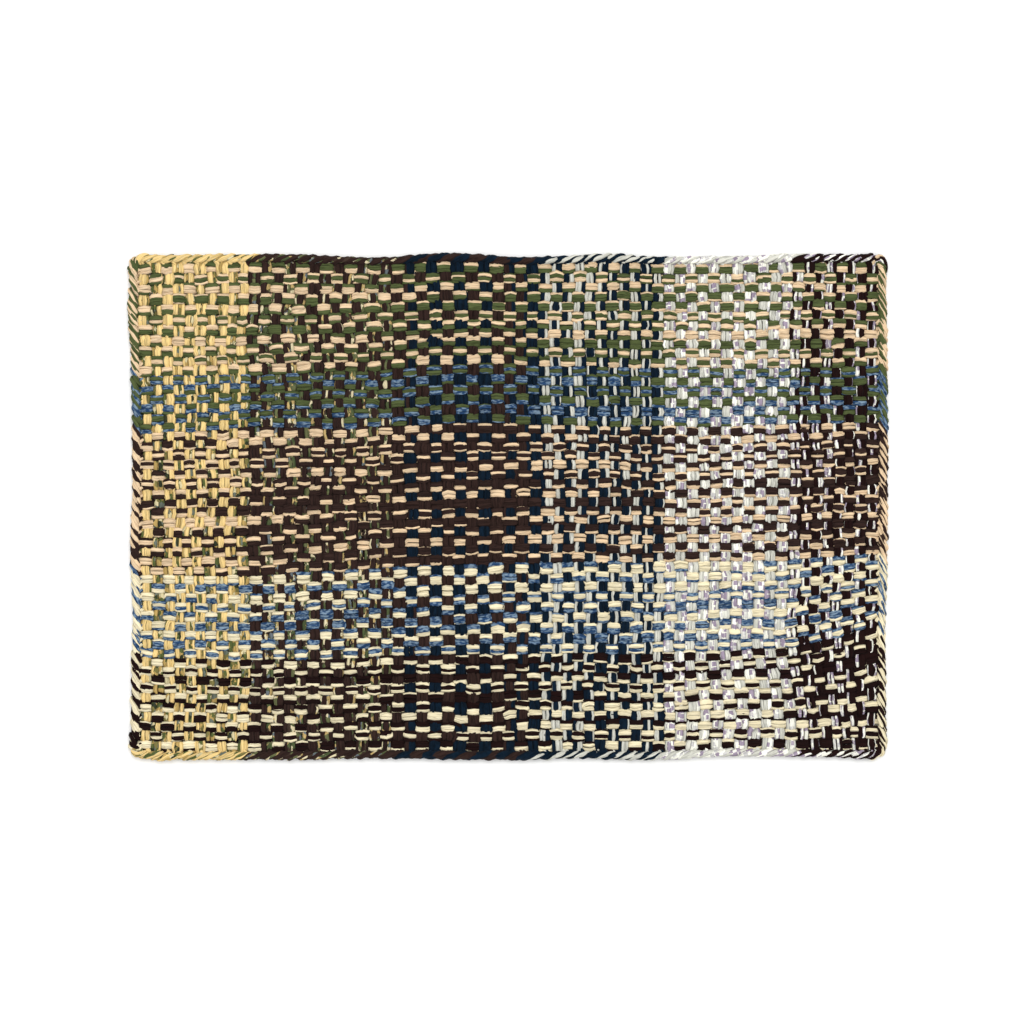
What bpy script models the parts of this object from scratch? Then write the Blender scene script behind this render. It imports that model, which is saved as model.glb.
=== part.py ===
"""Braided rug: a flat woven mat with a chained edge.

Bundles of narrow cloth loops are woven over one and under one, and the ends of the loops are
chained into a thick braid that runs round all four sides. Metres, +Z up, +X along the long
side. The origin is under the middle of the rug, on the surface that the rug lies on.
"""
import math

import bmesh
import bpy

# Driving sizes of the whole rug
LENGTH = 0.9144
WIDTH = 0.6096
FIELD_THICKNESS = 0.0085
BRAID_HEIGHT = 0.0105

# Gap that separate pieces keep
GAP = 0.0003

# Corners of the chained edge, as seen from above
CORNER_RADIUS = 0.021
INNER_CORNER = 0.004

# One link of the chain for each loop end: warps end at the long sides, wefts at the short ones
WARP_COUNT = 64
WEFT_COUNT = 51

# Each link is drawn by this many sections, and leans along the edge by this share of a link
SECTIONS_PER_LINK = 3
LINK_LEAN = 0.85

# Links over which the lean eases in from a corner, where a section lies on the mitre
LEAN_EASE = 3.0

# Height and reach of a section at the link's shoulder, its crown and the groove after it
LINK_PROFILE = (
    {"height": 0.95, "reach": 0.97},
    {"height": 1.00, "reach": 1.00},
    {"height": 0.74, "reach": 0.90},
)

# Section of the braid, from the woven field (across 0) to the rim (across 1)
BRAID_SECTION = (
    {"across": 0.00, "up": 0.00, "ridged": False},
    {"across": 0.86, "up": 0.00, "ridged": False},
    {"across": 1.00, "up": 0.36, "ridged": True},
    {"across": 0.86, "up": 0.80, "ridged": True},
    {"across": 0.48, "up": 1.00, "ridged": True},
    {"across": 0.00, "up": 0.82, "ridged": True},
)

# The four sides: braid width, links along it, and the colour that its loop ends give
SIDES = (
    {"name": "edge_braid_front", "width": 0.0125, "links": WARP_COUNT, "colour": (0.16, 0.13, 0.10)},
    {"name": "edge_braid_right", "width": 0.0135, "links": WEFT_COUNT, "colour": (0.24, 0.20, 0.15)},
    {"name": "edge_braid_back", "width": 0.0125, "links": WARP_COUNT, "colour": (0.14, 0.12, 0.11)},
    {"name": "edge_braid_left", "width": 0.0160, "links": WEFT_COUNT, "colour": (0.25, 0.21, 0.15)},
)

# How far each rim falls short of the full outline, by the share of the way along the side.
# The front runs from left to right, the right side from front to back, and so on round.
RIM_WAVER = {
    "edge_braid_front": (
        {"along": 0.00, "inset": 0.0000},
        {"along": 0.18, "inset": 0.0000},
        {"along": 0.36, "inset": 0.0022},
        {"along": 0.46, "inset": 0.0000},
        {"along": 0.60, "inset": 0.0016},
        {"along": 0.68, "inset": 0.0000},
        {"along": 0.80, "inset": 0.0050},
        {"along": 0.90, "inset": 0.0042},
        {"along": 1.00, "inset": 0.0010},
    ),
    "edge_braid_right": (
        {"along": 0.00, "inset": 0.0010},
        {"along": 0.12, "inset": 0.0024},
        {"along": 0.26, "inset": 0.0036},
        {"along": 0.36, "inset": 0.0006},
        {"along": 0.62, "inset": 0.0000},
        {"along": 0.84, "inset": 0.0008},
        {"along": 1.00, "inset": 0.0030},
    ),
    "edge_braid_back": (
        {"along": 0.00, "inset": 0.0028},
        {"along": 0.12, "inset": 0.0006},
        {"along": 0.20, "inset": 0.0040},
        {"along": 0.30, "inset": 0.0048},
        {"along": 0.36, "inset": 0.0008},
        {"along": 0.47, "inset": 0.0056},
        {"along": 0.58, "inset": 0.0000},
        {"along": 0.67, "inset": 0.0054},
        {"along": 0.83, "inset": 0.0012},
        {"along": 1.00, "inset": 0.0030},
    ),
    "edge_braid_left": (
        {"along": 0.00, "inset": 0.0040},
        {"along": 0.12, "inset": 0.0000},
        {"along": 0.21, "inset": 0.0046},
        {"along": 0.36, "inset": 0.0062},
        {"along": 0.48, "inset": 0.0066},
        {"along": 0.57, "inset": 0.0034},
        {"along": 0.73, "inset": 0.0070},
        {"along": 0.84, "inset": 0.0048},
        {"along": 1.00, "inset": 0.0046},
    ),
}

# The inner side of the braid follows its rim by this share of the waver
INNER_FOLLOWS = 0.45

# Steps of the woven field's grid along the rug, and across it
FIELD_STEPS = (32, 17)

# Low swells of the woven field: centre, reach each way, and rise above the plain thickness
FIELD_SWELLS = (
    {"x": -0.015, "y": -0.235, "reach_x": 0.085, "reach_y": 0.040, "rise": 0.0014},
    {"x": -0.120, "y": -0.165, "reach_x": 0.130, "reach_y": 0.035, "rise": 0.0007},
    {"x": 0.060, "y": 0.055, "reach_x": 0.150, "reach_y": 0.045, "rise": 0.0009},
    {"x": 0.330, "y": -0.190, "reach_x": 0.090, "reach_y": 0.060, "rise": 0.0010},
    {"x": 0.355, "y": 0.160, "reach_x": 0.060, "reach_y": 0.090, "rise": 0.0008},
    {"x": -0.390, "y": 0.230, "reach_x": 0.050, "reach_y": 0.050, "rise": 0.0011},
)

FIELD_COLOUR = (0.19, 0.16, 0.12)
CLOTH_ROUGHNESS = 0.92


def clear_scene():
    """Remove every object that the scene starts with."""
    for thing in list(bpy.data.objects):
        bpy.data.objects.remove(thing, do_unlink=True)


def cloth_material(name, colour):
    """Make the matt cloth material of one piece."""
    material = bpy.data.materials.new(name)
    material.use_nodes = True
    shader = material.node_tree.nodes["Principled BSDF"]
    shader.inputs["Base Color"].default_value = (*colour, 1.0)
    shader.inputs["Roughness"].default_value = CLOTH_ROUGHNESS
    shader.inputs["Metallic"].default_value = 0.0
    return material


def waver(side, along):
    """Inset of a side's rim at a share of the way along it, eased between the table's rows."""
    rows = RIM_WAVER[side]
    for before, after in zip(rows, rows[1:]):
        if along <= after["along"]:
            share = (along - before["along"]) / (after["along"] - before["along"])
            eased = 0.5 - 0.5 * math.cos(math.pi * max(share, 0.0))
            return before["inset"] + (after["inset"] - before["inset"]) * eased
    return rows[-1]["inset"]


def side_frame(index):
    """Start corner, direction along, direction inwards and length of one side, going round."""
    half_x, half_y = LENGTH / 2, WIDTH / 2
    corners = ((-half_x, -half_y), (half_x, -half_y), (half_x, half_y), (-half_x, half_y))
    start, end = corners[index], corners[(index + 1) % len(corners)]
    length = math.dist(start, end)
    along = ((end[0] - start[0]) / length, (end[1] - start[1]) / length)
    inwards = (-along[1], along[0])
    return start, along, inwards, length


def place(frame, distance, inset):
    """Point on the ground at a distance along a side and an inset from it."""
    start, along, inwards, _ = frame
    return (
        start[0] + along[0] * distance + inwards[0] * inset,
        start[1] + along[1] * distance + inwards[1] * inset,
    )


def rounding(distance, length, radius):
    """Inset that a round corner adds near either end of a side."""
    reach = radius - min(distance, length - distance)
    if reach <= 0.0:
        return 0.0
    return radius - math.sqrt(max(radius * radius - reach * reach, 0.0))


def end_reach(radius):
    """Distance from a square corner at which the corner's arc is halfway round."""
    return radius * (1.0 - math.sqrt(0.5))


def neighbour_widths(index):
    """Braid widths of the sides before and after one side."""
    return SIDES[index - 1]["width"], SIDES[(index + 1) % len(SIDES)]["width"]


def waver_fade(share, run):
    """Share of the waver that holds near a corner, where two sides have to meet."""
    return min(1.0, min(share, 1.0 - share) * run / (2 * CORNER_RADIUS))


def rim_point(index, share):
    """Point of a side's outer rim at a share of its run, from half corner to half corner."""
    frame = side_frame(index)
    length = frame[3]
    reach = end_reach(CORNER_RADIUS)
    run = length - 2 * reach
    distance = reach + run * share
    inset = rounding(distance, length, CORNER_RADIUS)
    inset += waver(SIDES[index]["name"], distance / length) * waver_fade(share, run)
    return place(frame, distance, inset)


def inner_node(index, share):
    """Point where the border of the field's grid meets the braid, at a share of the side's run."""
    frame = side_frame(index)
    length = frame[3]
    before, after = neighbour_widths(index)
    width = SIDES[index]["width"]
    run = length - before - after
    reach = end_reach(INNER_CORNER)
    within = reach + (run - 2 * reach) * share
    distance = before + within
    inset = width + rounding(within, run, INNER_CORNER)
    fade = waver_fade(share, run) * INNER_FOLLOWS
    inset += waver(SIDES[index]["name"], distance / length) * fade
    return place(frame, distance, inset)


def inner_point(index, share):
    """Point of the braid's inner side, straight between the nodes of the field's grid."""
    steps = FIELD_STEPS[index % len(FIELD_STEPS)]
    whole = min(int(share * steps), steps - 1)
    before = inner_node(index, whole / steps)
    after = inner_node(index, (whole + 1) / steps)
    part = share * steps - whole
    return [before[axis] + (after[axis] - before[axis]) * part for axis in (0, 1)]


def braid_section_points(index, share, lean, profile, shift):
    """Points of one section of the braid, its rim leaning back along the side."""
    _, along, _, _ = side_frame(index)
    inner = inner_point(index, share)
    outer = rim_point(index, min(max(share - lean, 0.0), 1.0))
    points = []
    for row in BRAID_SECTION:
        across, up = row["across"], row["up"]
        if row["ridged"]:
            across *= profile["reach"]
            up *= profile["height"]
        points.append(
            (
                inner[0] + (outer[0] - inner[0]) * across + along[0] * shift,
                inner[1] + (outer[1] - inner[1]) * across + along[1] * shift,
                up * BRAID_HEIGHT,
            )
        )
    return points


def make_object(name, mesh, collection, colour):
    """Put a finished mesh in the rug's collection with its own cloth material."""
    thing = bpy.data.objects.new(name, mesh)
    thing.data.materials.append(cloth_material(f"{name}_cloth", colour))
    mesh.shade_smooth()
    mesh.set_sharp_from_angle(angle=math.radians(50.0))
    collection.objects.link(thing)
    return thing


def braid(index, collection):
    """Loft one side of the chained edge through its slanted sections, link after link."""
    side = SIDES[index]
    count = side["links"] * SECTIONS_PER_LINK
    shape = bmesh.new()
    rings = []
    for step in range(count + 1):
        share = step / count
        from_corner = min(share, 1.0 - share) * side["links"]
        lean = LINK_LEAN / side["links"] * min(1.0, from_corner / LEAN_EASE)
        profile = LINK_PROFILE[step % SECTIONS_PER_LINK]
        shift = GAP * (0.75 if step == 0 else -0.75 if step == count else 0.0)
        points = braid_section_points(index, share, lean, profile, shift)
        rings.append([shape.verts.new(point) for point in points])
    for ring, following in zip(rings, rings[1:]):
        for place_in_ring, vertex in enumerate(ring):
            beside = (place_in_ring + 1) % len(ring)
            shape.faces.new((vertex, ring[beside], following[beside], following[place_in_ring]))
    shape.faces.new(reversed(rings[0]))
    shape.faces.new(rings[-1])
    bmesh.ops.recalc_face_normals(shape, faces=shape.faces)
    mesh = bpy.data.meshes.new(side["name"])
    shape.to_mesh(mesh)
    shape.free()
    return make_object(side["name"], mesh, collection, side["colour"])


def field_edge(index, share):
    """Point of the woven field's border, a gap inside the braid's inner side."""
    _, along, inwards, _ = side_frame(index)
    point = inner_node(index, share)
    at_start, at_end = share < 0.5 / FIELD_STEPS[0], share > 1.0 - 0.5 / FIELD_STEPS[0]
    nudge = GAP * (at_start - at_end)
    return [point[axis] + inwards[axis] * GAP + along[axis] * nudge for axis in (0, 1)]


def field_place(along, across):
    """Point of the field's grid, eased between its four bordering sides."""
    front, back = field_edge(0, along), field_edge(2, 1.0 - along)
    right, left = field_edge(1, across), field_edge(3, 1.0 - across)
    corner_fl, corner_fr = field_edge(0, 0.0), field_edge(0, 1.0)
    corner_bl, corner_br = field_edge(2, 1.0), field_edge(2, 0.0)
    place_xy = []
    for axis in (0, 1):
        between_long = front[axis] * (1 - across) + back[axis] * across
        between_wide = left[axis] * (1 - along) + right[axis] * along
        between_corners = (
            corner_fl[axis] * (1 - along) * (1 - across)
            + corner_fr[axis] * along * (1 - across)
            + corner_bl[axis] * (1 - along) * across
            + corner_br[axis] * along * across
        )
        place_xy.append(between_long + between_wide - between_corners)
    return place_xy


def field_height(x, y):
    """Thickness of the woven field at a point, with its low swells."""
    height = FIELD_THICKNESS
    for swell in FIELD_SWELLS:
        distance = math.hypot((x - swell["x"]) / swell["reach_x"], (y - swell["y"]) / swell["reach_y"])
        if distance < 1.0:
            height += swell["rise"] * (0.5 + 0.5 * math.cos(math.pi * distance))
    return height


def woven_field(collection):
    """Shape a grid to the inside of the braid, then raise a copy of it to the uneven top."""
    shape = bmesh.new()
    bmesh.ops.create_grid(
        shape, x_segments=FIELD_STEPS[0], y_segments=FIELD_STEPS[1], size=0.5
    )
    for vertex in shape.verts:
        vertex.co.x, vertex.co.y = field_place(vertex.co.x + 0.5, vertex.co.y + 0.5)
        vertex.co.z = 0.0
    raised = bmesh.ops.extrude_face_region(shape, geom=list(shape.faces))["geom"]
    for vertex in (item for item in raised if isinstance(item, bmesh.types.BMVert)):
        vertex.co.z = field_height(vertex.co.x, vertex.co.y)
    bmesh.ops.recalc_face_normals(shape, faces=shape.faces)
    mesh = bpy.data.meshes.new("woven_field")
    shape.to_mesh(mesh)
    shape.free()
    return make_object("woven_field", mesh, collection, FIELD_COLOUR)


def main():
    """Build the woven field and the four sides of its chained edge."""
    clear_scene()
    collection = bpy.data.collections.new("braided_rug")
    bpy.context.scene.collection.children.link(collection)
    woven_field(collection)
    for index in range(len(SIDES)):
        braid(index, collection)


main()
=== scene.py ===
import logging
import math
from dataclasses import dataclass, field
from enum import Enum
from typing import Union

import bpy
import numpy as np
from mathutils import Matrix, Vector
from mathutils.bvhtree import BVHTree


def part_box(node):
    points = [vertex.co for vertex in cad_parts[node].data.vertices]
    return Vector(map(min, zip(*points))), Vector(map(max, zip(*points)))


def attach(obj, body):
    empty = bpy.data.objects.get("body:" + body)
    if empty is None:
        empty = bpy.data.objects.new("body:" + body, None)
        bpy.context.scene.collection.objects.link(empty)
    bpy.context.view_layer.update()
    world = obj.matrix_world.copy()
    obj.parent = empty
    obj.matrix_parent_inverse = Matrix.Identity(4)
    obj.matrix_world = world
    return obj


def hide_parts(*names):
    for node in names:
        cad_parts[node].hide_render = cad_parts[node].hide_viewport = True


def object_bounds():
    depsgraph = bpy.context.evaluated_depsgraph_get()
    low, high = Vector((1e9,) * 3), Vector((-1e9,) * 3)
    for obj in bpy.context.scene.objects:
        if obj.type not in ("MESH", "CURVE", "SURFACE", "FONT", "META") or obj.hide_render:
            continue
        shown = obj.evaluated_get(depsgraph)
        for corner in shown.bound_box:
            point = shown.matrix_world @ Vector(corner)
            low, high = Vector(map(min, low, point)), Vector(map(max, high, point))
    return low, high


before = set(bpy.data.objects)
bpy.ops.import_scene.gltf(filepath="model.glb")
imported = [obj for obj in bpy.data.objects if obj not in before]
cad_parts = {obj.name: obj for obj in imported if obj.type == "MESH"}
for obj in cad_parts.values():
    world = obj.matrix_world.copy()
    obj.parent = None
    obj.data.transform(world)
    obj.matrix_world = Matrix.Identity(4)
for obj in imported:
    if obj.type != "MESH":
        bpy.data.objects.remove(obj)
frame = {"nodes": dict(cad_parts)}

CAD_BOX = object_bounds()
LOG = logging.getLogger("braided_rug")

Array = np.ndarray
Feed = Union["Shade", bpy.types.NodeSocket, bpy.types.Material, float, int, str, tuple]
UP = np.array([0.0, 0.0, 1.0])


def from_hex(code: str) -> tuple[float, float, float, float]:
    """Turn a colour as seen on screen into the linear colour that a shader takes.

    Args:
        code: Six hexadecimal digits, red first.

    Returns:
        Linear red, green and blue, with full alpha.
    """
    seen = [int(code[place:place + 2], 16) / 255 for place in (0, 2, 4)]
    linear = [c / 12.92 if c <= 0.04045 else ((c + 0.055) / 1.055) ** 2.4 for c in seen]
    return (*linear, 1.0)


class Shade:
    """A node's output that takes part in Python arithmetic, on numbers or on vectors."""

    def __init__(self, bench: "Bench", socket: bpy.types.NodeSocket) -> None:
        """Wrap one output.

        Args:
            bench: The bench that adds nodes to the output's tree.
            socket: The output itself.
        """
        self.bench = bench
        self.socket = socket

    def _join(self, operation: str, first: Feed, second: Feed) -> "Shade":
        """Add the node of one operation on two feeds.

        Args:
            operation: Name of the Math or Vector Math operation.
            first: Left side.
            second: Right side.

        Returns:
            The operation's result.
        """
        vectors = [isinstance(side, Shade) and side.socket.type == "VECTOR" for side in (first, second)]
        if vectors == [False, True] and operation == "MULTIPLY":
            return self._join(operation, second, first)
        if vectors == [True, False] and operation == "MULTIPLY":
            node = self.bench.add(
                "ShaderNodeVectorMath", {"operation": "SCALE"}, {"Vector": first, "Scale": second}
            )
            return Shade(self.bench, node.outputs["Vector"])
        kind = "ShaderNodeVectorMath" if any(vectors) else "ShaderNodeMath"
        node = self.bench.add(kind, {"operation": operation}, {0: first, 1: second})
        return Shade(self.bench, node.outputs[0])

    def __add__(self, other: Feed) -> "Shade":
        """Sum of this and another."""
        return self._join("ADD", self, other)

    def __radd__(self, other: Feed) -> "Shade":
        """Sum of another and this."""
        return self._join("ADD", other, self)

    def __sub__(self, other: Feed) -> "Shade":
        """This less another."""
        return self._join("SUBTRACT", self, other)

    def __rsub__(self, other: Feed) -> "Shade":
        """Another less this."""
        return self._join("SUBTRACT", other, self)

    def __mul__(self, other: Feed) -> "Shade":
        """Product of this and another."""
        return self._join("MULTIPLY", self, other)

    def __rmul__(self, other: Feed) -> "Shade":
        """Product of another and this."""
        return self._join("MULTIPLY", other, self)

    def __truediv__(self, other: Feed) -> "Shade":
        """This divided by another."""
        return self._join("DIVIDE", self, other)

    def __abs__(self) -> "Shade":
        """Size of this without its sign."""
        return self._join("ABSOLUTE", self, 0.0)

    def equals(self, number: float) -> "Shade":
        """One where this is a whole number, and zero elsewhere."""
        node = self.bench.add(
            "ShaderNodeMath", {"operation": "COMPARE"}, {0: self, 1: float(number), 2: 0.5}
        )
        return Shade(self.bench, node.outputs[0])

    def eased(self, low: float, high: float) -> "Shade":
        """Ease this from zero at one value to one at another.

        Args:
            low: Value that gives zero.
            high: Value that gives one.

        Returns:
            The eased share.
        """
        node = self.bench.add(
            "ShaderNodeMapRange",
            {"interpolation_type": "SMOOTHSTEP"},
            {"Value": self, "From Min": low, "From Max": high},
        )
        return Shade(self.bench, node.outputs["Result"])


class Bench:
    """Adds nodes to one tree, for a material or for a shape."""

    def __init__(self, tree: bpy.types.NodeTree) -> None:
        """Work on a tree.

        Args:
            tree: The tree that gets the nodes.
        """
        self.tree = tree

    def add(
        self,
        kind: str,
        settings: dict[str, object] | None = None,
        feeds: dict[str | int, Feed] | None = None,
    ) -> bpy.types.Node:
        """Add one node, set it, and then feed its sockets.

        Args:
            kind: The node's type.
            settings: The node's own settings, where stops are those of a colour ramp.
            feeds: Values or links of its sockets, by name or place.

        Returns:
            The node.
        """
        node = self.tree.nodes.new(kind)
        for name, value in (settings or {}).items():
            if name == "stops":
                self._set_stops(node.color_ramp, value)
            else:
                setattr(node, name, value)
        for key, feed in (feeds or {}).items():
            if isinstance(feed, Shade):
                self.tree.links.new(feed.socket, node.inputs[key])
            elif isinstance(feed, bpy.types.NodeSocket):
                self.tree.links.new(feed, node.inputs[key])
            else:
                node.inputs[key].default_value = feed
        return node

    def take(
        self,
        kind: str,
        output: str | int,
        settings: dict[str, object] | None = None,
        feeds: dict[str | int, Feed] | None = None,
    ) -> Shade:
        """Add one node and return one of its outputs.

        Args:
            kind: The node's type.
            output: Name or place of the output.
            settings: The node's own settings.
            feeds: Values or links of its sockets.

        Returns:
            The output.
        """
        return Shade(self, self.add(kind, settings, feeds).outputs[output])

    def mix(self, share: Feed, first: Feed, second: Feed) -> Shade:
        """Mix two colours.

        Args:
            share: How much of the second colour there is.
            first: Colour at a share of zero.
            second: Colour at a share of one.

        Returns:
            The mixed colour.
        """
        return self.take(
            "ShaderNodeMix", 2, {"data_type": "RGBA"}, {0: share, 6: first, 7: second}
        )

    def darken(self, colour: Feed, light: Feed) -> Shade:
        """Scale a colour by a number.

        Args:
            colour: The colour.
            light: One keeps it, and zero is black.

        Returns:
            The scaled colour.
        """
        return self.take(
            "ShaderNodeVectorMath", "Vector", {"operation": "SCALE"}, {0: colour, "Scale": light}
        )

    @staticmethod
    def _set_stops(ramp: bpy.types.ColorRamp, stops: list[tuple[float, tuple]]) -> None:
        """Give a colour ramp its stops.

        Args:
            ramp: The ramp.
            stops: Place and colour of each stop, in order.
        """
        ramp.interpolation = "CONSTANT"
        while len(ramp.elements) > 1:
            ramp.elements.remove(ramp.elements[-1])
        for number, (place, colour) in enumerate(stops):
            stop = ramp.elements[0] if number == 0 else ramp.elements.new(place)
            stop.position = place
            stop.color = colour


@dataclass(frozen=True)
class Grain:
    """How fine a noise is along a strip and across it, how far apart two strips read it, and its detail."""

    along: float
    across: float
    apart: float
    detail: float


@dataclass(frozen=True)
class Jersey:
    """Plain cotton jersey in narrow strips that curl lengthwise, soft and matt, with painted shade on its
    fold lines and curled edges.
    """

    name: str
    colour: str
    mottle: str
    mottle_share: float = 0.25
    mottle_size: float = 0.007
    mottle_edge: tuple[float, float] = (0.42, 0.62)
    mottle_stretch: tuple[float, float, float] = (1.0, 1.0, 1.0)
    half_strip: float = 0.0032
    strips_apart: float = 3.7
    streaks: Grain = Grain(75.0, 2.6, 61.0, 3.0)
    folds: Grain = Grain(22.0, 1.7, 97.0, 1.0)
    stitches: Grain = Grain(900.0, 5.5, 31.0, 1.0)
    fold_width: float = 0.055
    # Across the strip, where the painted shade of the curled edges starts and where it is full.
    curl: tuple[float, float] = (0.60, 1.04)
    # Darkness of the painted shade along the fold lines.
    crease_shade: float = 0.30
    # Darkness of that painted shade at the curled edges.
    curl_shade: float = 0.31
    streak_shade: float = 0.34
    stitch_shade: float = 0.16
    fade: float = 0.16
    fade_spread: float = 7.31
    streak_relief: float = 0.5
    fold_relief: float = 0.6
    stitch_relief: float = 0.22
    relief_strength: float = 0.75
    relief_depth: float = 0.0009
    roughness: float = 0.86
    roughness_spread: float = 0.16
    gloss: float = 0.03
    fuzz: float = 0.02
    fuzz_roughness: float = 0.6

    def pattern(self, bench: Bench, place: Shade) -> Shade:
        """Colour of the cloth before the painted shade of its fold lines and curled edges.

        Args:
            bench: The material's bench.
            place: Place on the strip, in metres along and across it.

        Returns:
            The colour.
        """
        stretched = bench.take(
            "ShaderNodeVectorMath", 0, {"operation": "MULTIPLY"}, {0: place, 1: self.mottle_stretch}
        )
        cloud = bench.take(
            "ShaderNodeTexNoise", 0, {}, {"Vector": stretched, "Scale": 1 / self.mottle_size, "Detail": 2.0}
        )
        share = cloud.eased(*self.mottle_edge) * self.mottle_share
        return bench.mix(share, from_hex(self.colour), from_hex(self.mottle))

    def _noise(self, bench: Bench, grain: Grain, run: Shade, across: Shade, seed: Shade) -> Shade:
        """Lay one noise along a strip.

        Args:
            bench: The material's bench.
            grain: How fine the noise is, and how rich.
            run: Distance along the strip.
            across: Place round its section.
            seed: The strip's own number.

        Returns:
            The noise.
        """
        place = self._vector(bench, run * grain.along, across * grain.across, seed * grain.apart)
        inputs = {"Vector": place, "Scale": 1.0, "Detail": grain.detail}
        return bench.take("ShaderNodeTexNoise", 0, {}, inputs)

    def material(self) -> bpy.types.Material:
        """Make the cloth's material.

        Returns:
            The material, which reads the strip's own attributes.
        """
        material = bpy.data.materials.new(self.name)
        material.use_nodes = True
        bench = Bench(material.node_tree)
        bench.tree.nodes.clear()
        run, across, seed = (
            bench.take("ShaderNodeAttribute", "Fac", {"attribute_name": name})
            for name in ("run", "across", "seed")
        )
        place = self._vector(bench, run, across * self.half_strip, seed * self.strips_apart)
        grains = (self.streaks, self.folds, self.stitches)
        streak, fold, stitch = (self._noise(bench, grain, run, across, seed) for grain in grains)
        line = abs(fold - 0.5).eased(0.0, self.fold_width)
        edge = abs(across).eased(*self.curl)
        # Painted shade: the colour is darkened along each fold line, where shade falls into the crease.
        light = 1.0 - (1.0 - line) * self.crease_shade
        # Painted shade: the colour is darkened towards the curled edges of the strip, where shade falls as
        # they roll under.
        light = light * (1.0 - edge * self.curl_shade)
        light = light * (1.0 + (streak - 0.5) * self.streak_shade)
        light = light * (1.0 + (stitch - 0.5) * self.stitch_shade)
        wear = bench.take("ShaderNodeMath", 0, {"operation": "FRACT"}, {0: seed * self.fade_spread})
        light = light * (1.0 + (wear - 0.5) * self.fade)
        colour = bench.darken(self.pattern(bench, place), light)
        height = streak * self.streak_relief + line * self.fold_relief + stitch * self.stitch_relief
        relief = {"Height": height, "Strength": self.relief_strength, "Distance": self.relief_depth}
        bump = bench.take("ShaderNodeBump", "Normal", {}, relief)
        cloth = bench.add(
            "ShaderNodeBsdfPrincipled",
            {},
            {
                "Base Color": colour,
                "Roughness": self.roughness + (stitch - 0.5) * self.roughness_spread,
                "Normal": bump,
                "Specular IOR Level": self.gloss,
                "Sheen Weight": self.fuzz,
                "Sheen Roughness": self.fuzz_roughness,
            },
        )
        bench.add("ShaderNodeOutputMaterial", {}, {"Surface": cloth.outputs["BSDF"]})
        return material

    @staticmethod
    def _vector(bench: Bench, first: Feed, second: Feed, third: Feed) -> Shade:
        """Join three numbers into a vector.

        Args:
            bench: The material's bench.
            first: The vector's X.
            second: Its Y.
            third: Its Z.

        Returns:
            The vector.
        """
        return bench.take("ShaderNodeCombineXYZ", 0, {}, {0: first, 1: second, 2: third})


@dataclass(frozen=True)
class Print(Jersey):
    """Jersey printed all over with small soft patches: its colour, its mottle and further ones."""

    patches: tuple[tuple[float, str], ...] = ()
    patch_size: float = 0.006
    wobble_fineness: float = 2.2
    wobble_reach: float = 0.7

    def pattern(self, bench: Bench, place: Shade) -> Shade:
        """Colour of the printed cloth before the painted shade of its fold lines and curled edges.

        Args:
            bench: The material's bench.
            place: Place on the strip, in metres along and across it.

        Returns:
            The colour.
        """
        fineness = self.wobble_fineness / self.patch_size
        wobble = bench.take("ShaderNodeTexNoise", 1, {}, {"Vector": place, "Scale": fineness, "Detail": 1.0})
        shifted = bench.take(
            "ShaderNodeVectorMath",
            0,
            {"operation": "MULTIPLY_ADD"},
            {0: wobble, 1: (self.patch_size * self.wobble_reach,) * 3, 2: place},
        )
        cell = bench.take(
            "ShaderNodeTexVoronoi",
            "Color",
            {"feature": "F1"},
            {"Vector": shifted, "Scale": 1 / self.patch_size},
        )
        pick = bench.take("ShaderNodeSeparateColor", 0, {}, {0: cell})
        patches = ((0.0, self.colour), (self.mottle_share, self.mottle), *self.patches)
        stops = [(start, from_hex(code)) for start, code in patches]
        return bench.take("ShaderNodeValToRGB", "Color", {"stops": stops}, {0: pick})


@dataclass(frozen=True)
class Spotted(Jersey):
    """White jersey with soft square spots of two further colours in clusters."""

    spot_size: float = 0.0058
    spot_edge: tuple[float, float] = (0.40, 0.47)
    scatter: float = 0.75
    faint: str = "CFCDCB"
    faint_from: tuple[float, float] = (0.76, 0.80)
    full_until: tuple[float, float] = (0.66, 0.70)

    def pattern(self, bench: Bench, place: Shade) -> Shade:
        """Colour of the spotted cloth before the painted shade of its fold lines and curled edges.

        Args:
            bench: The material's bench.
            place: Place on the strip, in metres along and across it.

        Returns:
            The colour.
        """
        cell = bench.add(
            "ShaderNodeTexVoronoi",
            {"feature": "F1", "distance": "CHEBYCHEV"},
            {"Vector": place, "Scale": 1 / self.spot_size, "Randomness": self.scatter},
        )
        pick = bench.take("ShaderNodeSeparateColor", 0, {}, {0: cell.outputs["Color"]})
        middle = 1.0 - Shade(bench, cell.outputs["Distance"]).eased(*self.spot_edge)
        faint_share = middle * pick.eased(*self.faint_from)
        faint = bench.mix(faint_share, from_hex(self.colour), from_hex(self.faint))
        share = middle * (1.0 - pick.eased(*self.full_until)) * self.mottle_share
        return bench.mix(share, faint, from_hex(self.mottle))


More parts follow.
